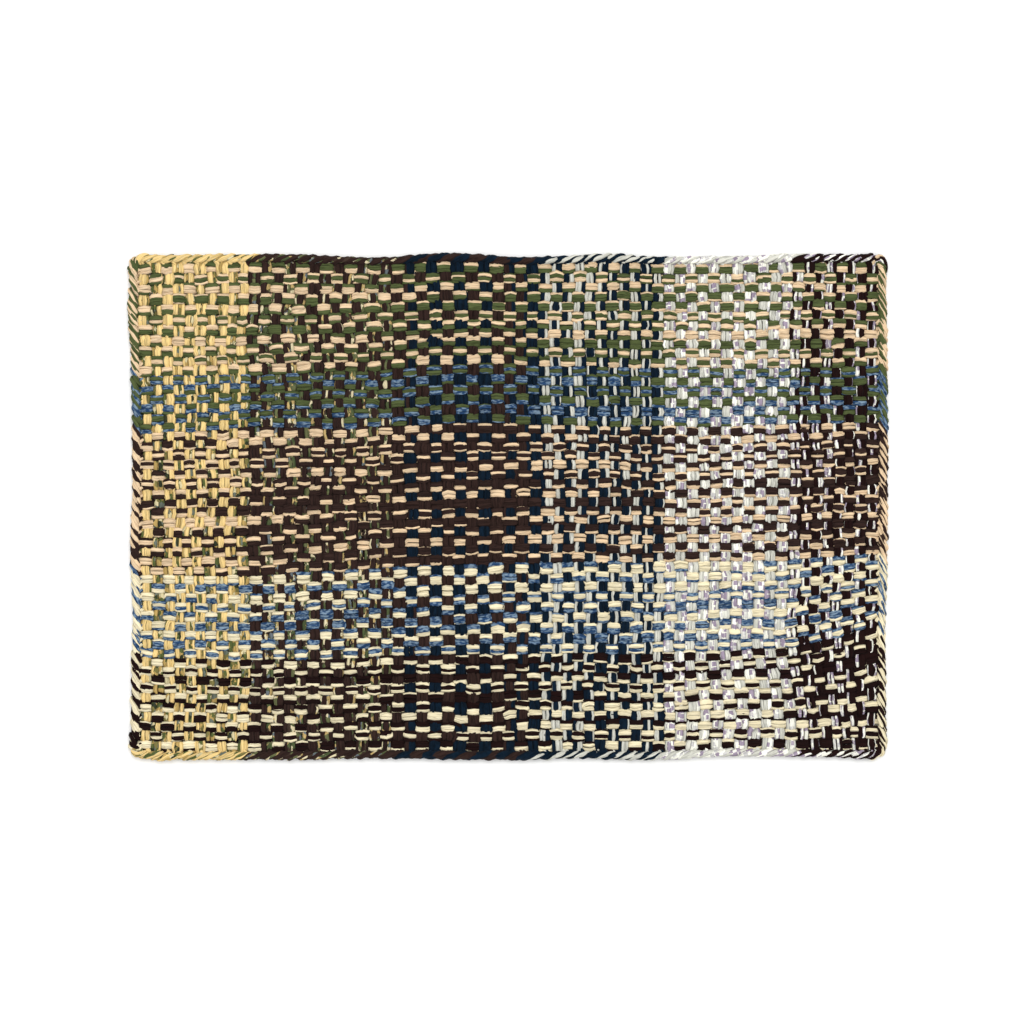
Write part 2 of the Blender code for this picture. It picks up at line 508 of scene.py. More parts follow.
class Cloth(Enum):
    """The cloths that the loops are cut from."""

    PEACH = Jersey("peach_jersey", "E6C8A2", "EEDAB9")
    GREEN = Jersey("olive_green_jersey", "535D38", "434D2C", crease_shade=0.42)
    BUTTER = Jersey("butter_yellow_jersey", "ECCC88", "F2DAA2")
    MEADOW = Print(
        "meadow_print_jersey",
        "5A6338",
        "B99C5E",
        mottle_share=0.26,
        patches=((0.52, "7B7344"), (0.68, "6A7166"), (0.78, "343A2A"), (0.88, "D8CBA0")),
    )
    BROWN = Jersey("dark_brown_jersey", "332420", "271916", crease_shade=0.45)
    EARTH = Print(
        "earth_print_jersey",
        "656946",
        "BDA36C",
        mottle_share=0.22,
        patches=((0.38, "40332B"), (0.58, "DCCFA9"), (0.72, "6A7276"), (0.80, "4F5A3A")),
    )
    NAVY = Jersey("navy_jersey", "0B1A27", "142A40", crease_shade=0.45)
    PALE = Jersey("pale_grey_jersey", "D4D3C7", "BEBEB4", mottle_share=0.5, crease_shade=0.3)
    LILAC = Spotted("lilac_spotted_jersey", "FBFAEC", "A193A5", mottle_share=1.0, crease_shade=0.25)
    BLACK = Jersey("near_black_jersey", "20100F", "160A09", crease_shade=0.45)
    DENIM = Jersey(
        "denim_blue_jersey",
        "28456A",
        "8AA1B4",
        mottle_share=0.80,
        mottle_size=0.0038,
        mottle_stretch=(0.70, 1.6, 1.0),
        crease_shade=0.42,
    )
    IVORY = Jersey("ivory_jersey", "ECDFBA", "F5EBCE", crease_shade=0.3)


CLOTHS = list(Cloth)


class StripTree:
    """Geometry nodes that sweep a curled strip of cloth along each guide line."""

    def __init__(self, name: str, finishes: dict[int, bpy.types.Material]) -> None:
        """Build the tree for one piece.

        Args:
            name: The piece's name.
            finishes: Material of each cloth that the piece uses, by the cloth's number.
        """
        self.tree = bpy.data.node_groups.new(f"{name}_strips", "GeometryNodeTree")
        sides = self.tree.interface
        sides.new_socket("Guides", in_out="INPUT", socket_type="NodeSocketGeometry")
        self.sizes = {
            label: sides.new_socket(label, in_out="INPUT", socket_type=kind).identifier
            for label, kind in (
                ("Section Corners", "NodeSocketInt"),
                ("Width Scale", "NodeSocketFloat"),
                ("Thickness Scale", "NodeSocketFloat"),
            )
        }
        sides.new_socket("Strips", in_out="OUTPUT", socket_type="NodeSocketGeometry")
        bench = Bench(self.tree)
        given = bench.add("NodeGroupInput")
        guides = self._store(bench, given.outputs["Guides"], "centre", "FLOAT_VECTOR", self._position(bench))
        lines = bench.take("GeometryNodeMeshToCurve", 0, {}, {0: guides})
        section = self._section(bench, given.outputs["Section Corners"])
        tubes = bench.take(
            "GeometryNodeCurveToMesh", 0, {}, {"Curve": lines, "Profile Curve": section, "Fill Caps": True}
        )
        width = self._read(bench, "across") * self._read(bench, "half_width")
        width = width * Shade(bench, given.outputs["Width Scale"])
        depth = self._read(bench, "rise") * self._read(bench, "half_thick")
        depth = depth * Shade(bench, given.outputs["Thickness Scale"])
        place = self._read(bench, "centre", "FLOAT_VECTOR")
        place = place + self._read(bench, "side", "FLOAT_VECTOR") * width
        place = place + self._read(bench, "facing", "FLOAT_VECTOR") * depth
        strips = bench.take("GeometryNodeSetPosition", 0, {}, {"Geometry": tubes, "Position": place})
        strips = bench.take("GeometryNodeSetShadeSmooth", 0, {}, {"Geometry": strips})
        strips = bench.take("GeometryNodeRealizeInstances", 0, {}, {"Geometry": strips})
        for number, finish in finishes.items():
            chosen = self._read(bench, "cloth").equals(number)
            feeds = {"Geometry": strips, "Selection": chosen, "Material": finish}
            strips = bench.take("GeometryNodeSetMaterial", 0, {}, feeds)
        bench.add("NodeGroupOutput", {}, {0: strips})

    def apply(self, guides: bpy.types.Object, corners: int, width: float, thickness: float) -> bpy.types.Mesh:
        """Sweep the strips along an object's guide lines.

        Args:
            guides: Object whose mesh holds the guide lines.
            corners: Corners of the strip's section.
            width: Scale of the strips' width.
            thickness: Scale of their thickness.

        Returns:
            The strips as a plain mesh.
        """
        modifier = guides.modifiers.new("strips", "NODES")
        modifier.node_group = self.tree
        modifier[self.sizes["Section Corners"]] = corners
        modifier[self.sizes["Width Scale"]] = width
        modifier[self.sizes["Thickness Scale"]] = thickness
        depsgraph = bpy.context.evaluated_depsgraph_get()
        mesh = bpy.data.meshes.new_from_object(guides.evaluated_get(depsgraph), depsgraph=depsgraph)
        guides.modifiers.remove(modifier)
        return mesh

    def _section(self, bench: Bench, corners: bpy.types.NodeSocket) -> Shade:
        """Make the strip's section, with each corner's place across and up stored on it.

        Args:
            bench: The tree's bench.
            corners: How many corners the section has.

        Returns:
            The section as a closed curve.
        """
        circle = bench.take(
            "GeometryNodeCurvePrimitiveCircle", 0, {"mode": "RADIUS"}, {"Resolution": corners, "Radius": 1.0}
        )
        place = bench.add("ShaderNodeSeparateXYZ", {}, {0: self._position(bench)})
        turn = bench.take("GeometryNodeInputIndex", 0) / Shade(bench, corners)
        section = self._store(bench, circle, "across", "FLOAT", place.outputs["X"])
        section = self._store(bench, section, "rise", "FLOAT", place.outputs["Y"])
        return self._store(bench, section, "turn", "FLOAT", turn)

    @staticmethod
    def _position(bench: Bench) -> Shade:
        """Each point's own place."""
        return bench.take("GeometryNodeInputPosition", 0)

    @staticmethod
    def _read(bench: Bench, name: str, kind: str = "FLOAT") -> Shade:
        """A stored attribute."""
        return bench.take("GeometryNodeInputNamedAttribute", 0, {"data_type": kind}, {"Name": name})

    @staticmethod
    def _store(bench: Bench, shape: Feed, name: str, kind: str, value: Feed) -> Shade:
        """The shape with a value stored on its points."""
        return bench.take(
            "GeometryNodeStoreNamedAttribute",
            0,
            {"data_type": kind, "domain": "POINT"},
            {"Geometry": shape, "Name": name, "Value": value},
        )


class StripPiece:
    """One piece of the rug: strips of cloth that are laid one by one and then swept."""

    SECTION_CORNERS = 6
    GUIDED = ("co", "side", "facing", "half_width", "half_thick", "run", "seed", "cloth", "strip")
    DROPPED = ("rise", "turn", "strip", "cloth", "centre", "side", "facing", "half_width", "half_thick")
    MAP_GAP = 0.0012
    MAP_MARGIN = 0.002
    CAP_GAP = 0.0015
    CAP_HEIGHT = 0.001

    def __init__(self, name: str, rng: np.random.Generator) -> None:
        """Start an empty piece.

        Args:
            name: The piece's name.
            rng: Source of each strip's own variation.
        """
        self.name = name
        self.rng = rng
        self.parts: dict[str, list[Array]] = {key: [] for key in self.GUIDED}
        self.edges: list[Array] = []
        self.lengths: list[float] = []
        self.rounds: list[float] = []
        self.points = 0

    def lay(self, centre: Array, facing: Array, half_width: Array, half_thick: Array, cloth: Cloth) -> None:
        """Lay one strip, no lower than the floor.

        Args:
            centre: Points of its middle line.
            facing: Direction that its flat side faces at each point, roughly.
            half_width: Half its width at each point.
            half_thick: Half its thickness at each point.
            cloth: What it is cut from.
        """
        count = len(centre)
        tangent = np.gradient(centre, axis=0)
        tangent /= np.linalg.norm(tangent, axis=1, keepdims=True)
        side = np.cross(facing, tangent)
        side /= np.linalg.norm(side, axis=1, keepdims=True)
        square = np.cross(tangent, side)
        depth = np.hypot(half_width * side[:, 2], half_thick * square[:, 2])
        centre = centre + UP * np.maximum(depth - centre[:, 2], 0.0)[:, None]
        steps = np.linalg.norm(np.diff(centre, axis=0), axis=1)
        run = np.concatenate(([0.0], np.cumsum(steps)))
        values = {
            "co": centre,
            "side": side,
            "facing": square,
            "half_width": half_width,
            "half_thick": half_thick,
            "run": run,
            "seed": np.full(count, self.rng.random()),
            "cloth": np.full(count, CLOTHS.index(cloth)),
            "strip": np.full(count, len(self.lengths)),
        }
        for key, value in values.items():
            self.parts[key].append(value)
        first = np.arange(self.points, self.points + count - 1)
        self.edges.append(np.stack((first, first + 1), axis=1))
        self.points += count
        self.lengths.append(float(run[-1]))
        self.rounds.append(float(4.0 * np.max(half_width) + 2.0 * np.max(half_thick)))

    def finish(self, materials: dict[Cloth, bpy.types.Material], node: str) -> bpy.types.Object:
        """Args:
            materials: Material of every cloth.
            node: CAD node that the piece stands for, which gets hidden.

        Returns:
            The finished piece.
        """
        guides = self._guides()
        used = sorted({int(strip[0]) for strip in self.parts["cloth"]})
        tree = StripTree(self.name, {number: materials[CLOTHS[number]] for number in used})
        mesh = tree.apply(guides, self.SECTION_CORNERS, 1.0, 1.0)
        bpy.data.objects.remove(guides, do_unlink=True)
        mesh.name = self.name
        while None in list(mesh.materials):
            mesh.materials.pop(index=list(mesh.materials).index(None))
        self._unwrap(mesh)
        for name in self.DROPPED:
            stored = mesh.attributes.get(name)
            if stored is not None:
                mesh.attributes.remove(stored)
        piece = bpy.data.objects.new(self.name, mesh)
        bpy.context.scene.collection.objects.link(piece)
        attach(piece, "root")
        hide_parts(node)
        mesh.calc_loop_triangles()
        return piece

    def _guides(self) -> bpy.types.Object:
        """Put the guide lines in a mesh, with what the sweep needs on their points.

        Returns:
            The object that holds the mesh.
        """
        mesh = bpy.data.meshes.new(f"{self.name}_guides")
        edges = np.concatenate(self.edges)
        mesh.vertices.add(self.points)
        mesh.edges.add(len(edges))
        mesh.vertices.foreach_set("co", np.concatenate(self.parts["co"]).astype(np.float32).ravel())
        mesh.edges.foreach_set("vertices", edges.astype(np.int32).ravel())
        for key, parts in self.parts.items():
            if key == "co":
                continue
            values = np.concatenate(parts)
            kind, member = ("FLOAT_VECTOR", "vector") if values.ndim == 2 else ("FLOAT", "value")
            stored = mesh.attributes.new(key, kind, "POINT")
            stored.data.foreach_set(member, values.astype(np.float32).ravel())
        mesh.update()
        guides = bpy.data.objects.new(f"{self.name}_guides", mesh)
        bpy.context.scene.collection.objects.link(guides)
        return guides

    def _unwrap(self, mesh: bpy.types.Mesh) -> None:
        """Lay the strips out side by side in a UV map named OFBake.

        Args:
            mesh: The swept mesh, with each point's strip, turn and run.
        """
        read = {}
        for name in ("strip", "turn", "run", "across", "rise"):
            read[name] = np.empty(len(mesh.vertices), np.float32)
            mesh.attributes[name].data.foreach_get("value", read[name])
        left, low = self._shelves()
        corner = np.empty(len(mesh.loops), np.int32)
        mesh.loops.foreach_get("vertex_index", corner)
        starts = np.empty(len(mesh.polygons), np.int32)
        totals = np.empty(len(mesh.polygons), np.int32)
        mesh.polygons.foreach_get("loop_start", starts)
        mesh.polygons.foreach_get("loop_total", totals)
        turn = read["turn"][corner]
        strip = np.rint(read["strip"][corner]).astype(int)
        run = read["run"][corner]
        rounds, lengths = np.array(self.rounds), np.array(self.lengths)
        quads = starts[totals == 4][:, None] + np.arange(4)
        wraps = turn[quads].max(axis=1) - turn[quads].min(axis=1) > 0.5
        seam = quads[wraps]
        turn[seam] = np.where(turn[seam] < 0.25, turn[seam] + 1.0, turn[seam])
        across = left[strip] + turn * rounds[strip]
        along = low[strip] + run
        caps = np.repeat(totals != 4, totals)
        end = run[caps] > lengths[strip[caps]] / 2
        across[caps] = left[strip[caps]] + (read["across"][corner][caps] * 0.25 + 0.5) * rounds[strip[caps]]
        lift = self.CAP_GAP + read["rise"][corner][caps] * self.CAP_HEIGHT
        along[caps] = low[strip[caps]] + np.where(end, lengths[strip[caps]] + lift, -lift)
        places = np.stack((across, along), axis=1)
        places -= places.min(axis=0)
        places = places / places.max() * (1 - 2 * self.MAP_MARGIN) + self.MAP_MARGIN
        layer = mesh.uv_layers.new(name="OFBake")
        layer.uv.foreach_set("vector", places.astype(np.float32).ravel())

    def _shelves(self) -> tuple[Array, Array]:
        """Find room for the strips in the map, in metres, shelf above shelf.

        Returns:
            How far across and how far up each strip's lower left corner lies.
        """
        gap = self.MAP_GAP
        spans = [around + gap for around in self.rounds]
        tall = max(self.lengths) + 4 * gap
        wide = max(math.sqrt(sum(span * (size + 4 * gap) for span, size in zip(spans, self.lengths))), tall)
        left, low = [], []
        across = up = shelf = 0.0
        for span, size in zip(spans, self.lengths):
            if across + span > wide and across > 0.0:
                across, up, shelf = 0.0, up + shelf, 0.0
            left.append(across)
            low.append(up + 2 * gap)
            across += span
            shelf = max(shelf, size + 4 * gap)
        return np.array(left), np.array(low)


class Mix(Enum):
    """How the strips of two cloths share one bundle."""

    TURN_ABOUT = (0, 1, 0, 1)
    IN_PAIRS = (0, 0, 1, 1)
    MOSTLY_FIRST = (0, 0, 0, 1)
    MOSTLY_SECOND = (1, 1, 0, 1)
    THREE_FIRST = (0, 1, 0)
    THREE_SECOND = (1, 0, 1)
    ALL_FIRST = (0, 0, 0)
    ALL_SECOND = (1, 1, 1)


EVEN = ((Mix.TURN_ABOUT, Mix.IN_PAIRS, Mix.IN_PAIRS, Mix.THREE_FIRST, Mix.THREE_SECOND),)
BY_TURNS = (
    (Mix.ALL_FIRST, Mix.MOSTLY_FIRST, Mix.ALL_FIRST),
    (Mix.ALL_SECOND, Mix.MOSTLY_SECOND, Mix.ALL_SECOND, Mix.IN_PAIRS),
)


@dataclass(frozen=True)
class Stripe:
    """A run of bundles that share two cloths, from one place to another across the rug.

    The fade is how much wider the first cloth's strips get from the middle to where the bundles start, and
    the second's from the middle to where they end.
    """

    name: str
    start: float
    end: float
    count: int
    cloths: tuple[Cloth, Cloth]
    widths: tuple[float, float]
    leaves: tuple[float, float]
    mixes: tuple[tuple[Mix, ...], ...] = EVEN
    fade: float = 0.0
    front_leaves: tuple[float, float] | None = None

    def places(self) -> Array:
        """Middle of each bundle."""
        return self.start + (np.arange(self.count) + 0.5) / self.count * (self.end - self.start)

    def draw(self, rng: np.random.Generator) -> list[tuple[tuple[int, ...], float]]:
        """Draw each bundle's share of the two cloths and its first twist, all of them about as often.

        Args:
            rng: Source of the draws.

        Returns:
            The cloths of each bundle's strips, and its twist in turns.
        """
        groups = len(self.mixes)
        cards = np.arange(self.count // groups + 1)
        decks = [rng.permutation(cards % len(choices)) for choices in self.mixes]
        twists = (rng.permutation(self.count) + rng.random(self.count)) / self.count
        shares = [self.mixes[n % groups][decks[n % groups][n // groups]].value for n in range(self.count)]
        return list(zip(shares, twists))


WARP_ZONES = (
    Stripe(
        "butter", -0.4404, -0.3110, 10, (Cloth.BUTTER, Cloth.MEADOW), (1.10, 0.76), (1.02, 0.50),
        fade=0.22, front_leaves=(0.84, 0.80),
    ),
    Stripe(
        "earth", -0.3110, -0.1384, 12, (Cloth.BROWN, Cloth.EARTH), (1.16, 0.70), (1.05, 0.52),
        front_leaves=(0.96, 0.62),
    ),
    Stripe("navy", -0.1384, 0.0401, 12, (Cloth.BROWN, Cloth.NAVY), (1.02, 1.02), (0.95, 0.95), BY_TURNS),
    Stripe("sea", 0.0401, 0.1887, 11, (Cloth.NAVY, Cloth.PALE), (1.12, 0.74), (0.84, 0.72)),
    Stripe("lilac", 0.1887, 0.3385, 11, (Cloth.LILAC, Cloth.PALE), (1.14, 0.90), (0.92, 0.92)),
    Stripe("dusk", 0.3385, 0.4452, 8, (Cloth.BLACK, Cloth.LILAC), (1.28, 0.62), (0.98, 0.60)),
)

WEFT_BANDS = (
    Stripe("olive", 0.2903, 0.1666, 11, (Cloth.PEACH, Cloth.GREEN), (0.98, 1.02), (0.86, 0.84)),
    Stripe("blue", 0.1666, 0.0953, 6, (Cloth.GREEN, Cloth.DENIM), (1.00, 0.90), (0.86, 0.84)),
    Stripe("cocoa", 0.0953, -0.0708, 15, (Cloth.BROWN, Cloth.PEACH), (1.12, 0.86), (0.86, 0.84), fade=-0.10),
    Stripe("cream", -0.0708, -0.1766, 9, (Cloth.IVORY, Cloth.DENIM), (1.00, 1.00), (0.92, 0.76), fade=-0.10),
    Stripe("night", -0.1766, -0.2920, 10, (Cloth.BLACK, Cloth.IVORY), (1.02, 0.98), (0.82, 0.90), fade=-0.02),
)


class RugShape:
    """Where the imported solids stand, so that the cloth lies where they are."""

    PROBE_HEIGHT = 0.004
    BORDER_MARGIN = 0.006
    BORDER_STEPS = (60, 40)
    SWELL_MARGIN = 0.004
    OUTSIDE = 1.0
    ABOVE = 0.1

    def __init__(self, nodes: dict[str, bpy.types.Object]) -> None:
        """Read the solids.

        Args:
            nodes: The CAD nodes by name.
        """
        braids = [name for name in sorted(nodes) if name.startswith("edge_braid")]
        self.field = self._tree([nodes["woven_field"]])
        self.braid = self._tree([nodes[name] for name in braids])
        low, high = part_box("woven_field")
        self.low, self.high = np.array(low), np.array(high)
        far, height, margin = self.OUTSIDE, self.PROBE_HEIGHT, self.BORDER_MARGIN
        self.xs = np.linspace(low.x + margin, high.x - margin, self.BORDER_STEPS[0])
        self.ys = np.linspace(low.y + margin, high.y - margin, self.BORDER_STEPS[1])
        self.front = np.array([self._hit(self.field, (x, -far, height), (0, 1, 0)).y for x in self.xs])
        self.back = np.array([self._hit(self.field, (x, far, height), (0, -1, 0)).y for x in self.xs])
        self.left = np.array([self._hit(self.field, (-far, y, height), (1, 0, 0)).x for y in self.ys])
        self.right = np.array([self._hit(self.field, (far, y, height), (-1, 0, 0)).x for y in self.ys])

    @staticmethod
    def _tree(objects: list[bpy.types.Object]) -> BVHTree:
        """Make a search tree of the faces of some objects.

        Args:
            objects: The objects, each with its place in its mesh.

        Returns:
            The tree.
        """
        points: list[Vector] = []
        faces: list[list[int]] = []
        for thing in objects:
            base = len(points)
            points.extend(vertex.co.copy() for vertex in thing.data.vertices)
            faces.extend([base + corner for corner in polygon.vertices] for polygon in thing.data.polygons)
        return BVHTree.FromPolygons(points, faces)

    @staticmethod
    def _hit(tree: BVHTree, start: tuple, way: tuple) -> Vector:
        """First place where a line from outside meets the solids."""
        return tree.ray_cast(Vector(start), Vector(way))[0]

    def fit(self, x: Array, y: Array) -> tuple[Array, Array]:
        """Fit plain places to the woven field's own borders.

        Args:
            x: Places along the rug, from the table of zones.
            y: Places across it, from the table of bands.

        Returns:
            The same places between the solid's borders.
        """
        x_from, x_to = WARP_ZONES[0].start, WARP_ZONES[-1].end
        y_from, y_to = WEFT_BANDS[-1].end, WEFT_BANDS[0].start
        left, right = np.interp(y, self.ys, self.left), np.interp(y, self.ys, self.right)
        front, back = np.interp(x, self.xs, self.front), np.interp(x, self.xs, self.back)
        along = (x - x_from) / (x_to - x_from)
        across = (y - y_from) / (y_to - y_from)
        return left + along * (right - left), front + across * (back - front)

    def lift(self, x: Array, y: Array, plain: float) -> Array:
        """How far the woven field swells above its plain thickness.

        Args:
            x: Places along the rug.
            y: Places across it.
            plain: The plain thickness.

        Returns:
            The rise at each place.
        """
        margin = self.SWELL_MARGIN
        inside_x = np.clip(x, self.low[0] + margin, self.high[0] - margin).ravel()
        inside_y = np.clip(y, self.low[1] + margin, self.high[1] - margin).ravel()
        tops = [self._hit(self.field, (*place, self.ABOVE), (0, 0, -1)) for place in zip(inside_x, inside_y)]
        return np.array([0.0 if top is None else top.z - plain for top in tops]).reshape(x.shape)


@dataclass(frozen=True)
class Bundle:
    """One bundle of strips: its way through the weave, and what it is made of.

    The places are its middle at each crossing. The rise is how far it passes over the middle there, or under
    it where negative. The room is what its neighbours leave it, where one is the plain pitch. The shares say
    which of the stripe's cloths each strip is cut from, and the twist, in turns, is the one it starts with.
    """

    places: Array
    rise: Array
    room: Array
    stripe: Stripe
    shares: tuple[int, ...]
    first_twist: float


@dataclass
class WovenField:
    """The plain weave: bundles of strips over one and under one, uneven as by hand."""

    shape: RugShape
    plain_thickness: float = 0.0085
    mid_height: float = 0.0046
    wave: tuple[float, float] = (0.00180, 0.00205)
    spread: float = 0.0030
    stack: float = 0.0010
    half_width: float = 0.00345
    half_thick: float = 0.00108
    roll: float = math.radians(32.0)
    twist_step: float = math.radians(21.0)
    sway: float = 0.00075
    drifts: tuple[tuple[float, float], tuple[float, float]] = ((0.16, 0.0017), (0.11, 0.0009))
    drift_waves: int = 7
    drift_lengths: tuple[float, float] = (0.6, 1.9)
    drift_evening: float = 2.4
    still_border: float = 0.035
    puff: float = 0.05
    plump_share: float = 0.10
    plump_size: tuple[float, float] = (0.10, 0.26)
    calm: float = 0.30
    swollen: tuple[float, float] = (0.16, 0.13)
    own_swell: float = 0.6
    edge_nudge: tuple[float, float] = (0.0010, 0.0018)
    reach: float = 0.0105
    end_gap: float = 0.05
    shoulder: float = 0.37
    shoulder_rise: float = 0.84
    shoulder_plump: float = 0.5
    under_width: float = 0.96
    full_bundle: int = 4
    least_out: float = 0.5
    roll_ease: float = 3.0
    room_limits: tuple[float, float] = (0.92, 1.40)
    jump_share: float = 0.10
    jump_size: tuple[float, float] = (0.8, 1.8)
    strip_twist: float = 0.10
    strip_width: tuple[float, float] = (0.86, 1.10)
    strip_thick: tuple[float, float] = (0.92, 1.12)
    uneven_width: tuple[float, float] = (0.88, 1.10)
    ridge: float = 0.24
    clearance: float = 0.0003
    plain_pitch: tuple[float, float] = (0.0131, 0.0115)
    seed: int = 20
    pulls: tuple[dict[str, float], ...] = (
        {"x": 0.360, "y": -0.275, "reach_x": 0.080, "reach_y": 0.050, "push_x": 0.0150, "push_y": 0.0000},
        {"x": 0.360, "y": 0.270, "reach_x": 0.080, "reach_y": 0.070, "push_x": 0.0065, "push_y": 0.0000},
        {"x": 0.130, "y": 0.020, "reach_x": 0.090, "reach_y": 0.060, "push_x": 0.0030, "push_y": 0.0000},
        {"x": -0.030, "y": -0.262, "reach_x": 0.040, "reach_y": 0.030, "push_x": 0.0000, "push_y": -0.0055},
        {"x": 0.012, "y": -0.255, "reach_x": 0.035, "reach_y": 0.030, "push_x": 0.0000, "push_y": 0.0050},
    )
    slopes: tuple[dict[str, float], ...] = (
        {"x": -0.430, "olive": -0.0110, "blue": -0.0080, "cocoa": -0.0120, "cream": -0.0045},
        {"x": -0.310, "olive": -0.0100, "blue": -0.0015, "cocoa": -0.0130, "cream": -0.0070},
        {"x": -0.190, "olive": -0.0035, "blue": -0.0020, "cocoa": -0.0045, "cream": -0.0065},
        {"x": -0.070, "olive": 0.0010, "blue": 0.0035, "cocoa": -0.0010, "cream": -0.0020},
        {"x": 0.000, "olive": 0.0040, "blue": 0.0045, "cocoa": 0.0040, "cream": 0.0000},
        {"x": 0.120, "olive": -0.0010, "blue": 0.0020, "cocoa": 0.0045, "cream": 0.0000},
        {"x": 0.240, "olive": 0.0000, "blue": 0.0000, "cocoa": 0.0045, "cream": 0.0020},
        {"x": 0.336, "olive": -0.0020, "blue": 0.0025, "cocoa": 0.0050, "cream": 0.0045},
        {"x": 0.400, "olive": -0.0010, "blue": 0.0040, "cocoa": 0.0100, "cream": 0.0190},
        {"x": 0.440, "olive": 0.0000, "blue": 0.0045, "cocoa": 0.0125, "cream": 0.0310},
    )
    rng: np.random.Generator = field(init=False)
    x: Array = field(init=False)
    y: Array = field(init=False)
    z: Array = field(init=False)

    def __post_init__(self) -> None:
        """Find every crossing."""
        self.rng = np.random.default_rng(self.seed)
        plain_x = np.concatenate([zone.places() for zone in WARP_ZONES])
        plain_y = np.concatenate([band.places() for band in WEFT_BANDS])
        grid_x, grid_y = np.meshgrid(plain_x, plain_y)
        near_x = np.minimum(grid_x - plain_x[0], plain_x[-1] - grid_x)
        near_y = np.minimum(plain_y[0] - grid_y, grid_y - plain_y[-1])
        free_x, free_y = (np.clip(near / self.still_border, 0, 1) for near in (near_x, near_y))
        move_x, move_y = self._swells(grid_x, grid_y)
        slope_y = self._slopes(grid_x, grid_y)
        fitted_x, fitted_y = self.shape.fit(grid_x, grid_y)
        jitter = self.rng.normal(0.0, self.sway, (2, *grid_x.shape))
        self.x = fitted_x + move_x * free_x + jitter[0]
        self.y = fitted_y + slope_y + move_y * free_y + jitter[1]
        self.x[:, 0] -= self.edge_nudge[0]
        self.x[:, -1] += self.edge_nudge[0]
        self.y[0] += self.edge_nudge[1]
        self.y[-1] -= self.edge_nudge[1]
        self.z = self.mid_height + self.shape.lift(self.x, self.y, self.plain_thickness) * 0.5

    def _swells(self, x: Array, y: Array) -> tuple[Array, Array]:
        """How far the hand-pulled weave drifts from its plain places.

        Args:
            x: Plain places along the rug.
            y: Plain places across it.

        Returns:
            The drift along and across.
        """
        moves = []
        for length, size in self.drifts:
            total = np.zeros_like(x)
            for _ in range(self.drift_waves):
                way, phase = self.rng.uniform(0, math.tau, 2)
                pitch = math.tau / (length * self.rng.uniform(*self.drift_lengths))
                total += np.sin((x * math.cos(way) + y * math.sin(way)) * pitch + phase)
            moves.append(total * size / self.drift_evening)
        for pull in self.pulls:
            far = ((x - pull["x"]) / pull["reach_x"]) ** 2 + ((y - pull["y"]) / pull["reach_y"]) ** 2
            near = np.exp(-far)
            moves[0] = moves[0] + near * pull["push_x"]
            moves[1] = moves[1] + near * pull["push_y"]
        return moves[0], moves[1]

    def _slopes(self, x: Array, y: Array) -> Array:
        """How far the rows rise or sink on their way across, by the measured edges of the bands.

        Args:
            x: Plain places along the rug.
            y: Plain places across it.

        Returns:
            The rise at each place.
        """
        bands = WEFT_BANDS[-2::-1]
        edges = [WEFT_BANDS[-1].end, *(band.end for band in bands), WEFT_BANDS[0].start]
        along = [row["x"] for row in self.slopes]
        rises = [np.interp(x[0], along, [row[band.name] for row in self.slopes]) for band in bands]
        level = np.zeros(x.shape[1])
        table = np.array([level, *rises, level])
        columns = [np.interp(y[:, column], edges, table[:, column]) for column in range(x.shape[1])]
        return np.stack(columns, axis=1)

    def build(self, materials: dict[Cloth, bpy.types.Material]) -> None:
        """Lay every zone of warps and every band of wefts.

        Args:
            materials: Material of every cloth.
        """
        room_x = np.gradient(self.x, axis=1) / self.plain_pitch[0]
        room_y = -np.gradient(self.y, axis=0) / self.plain_pitch[1]
        column = 0
        for zone in WARP_ZONES:
            piece = StripPiece(f"warps_{zone.name}", self.rng)
            for shares, first_twist in zone.draw(self.rng):
                rise = self.wave[0] * np.where((np.arange(self.x.shape[0]) + column) % 2 == 1, 1.0, -1.0)
                places = np.stack((self.x[:, column], self.y[:, column], self.z[:, column]), axis=1)
                self._lay_bundle(piece, Bundle(places, rise, room_x[:, column], zone, shares, first_twist))
                column += 1
            piece.finish(materials, "woven_field")
        row = 0
        for band in WEFT_BANDS:
            piece = StripPiece(f"wefts_{band.name}", self.rng)
            for shares, first_twist in band.draw(self.rng):
                rise = self.wave[1] * np.where((np.arange(self.x.shape[1]) + row) % 2 == 0, 1.0, -1.0)
                places = np.stack((self.x[row], self.y[row], self.z[row]), axis=1)
                self._lay_bundle(piece, Bundle(places, rise, room_y[row], band, shares, first_twist))
                row += 1
            piece.finish(materials, "woven_field")

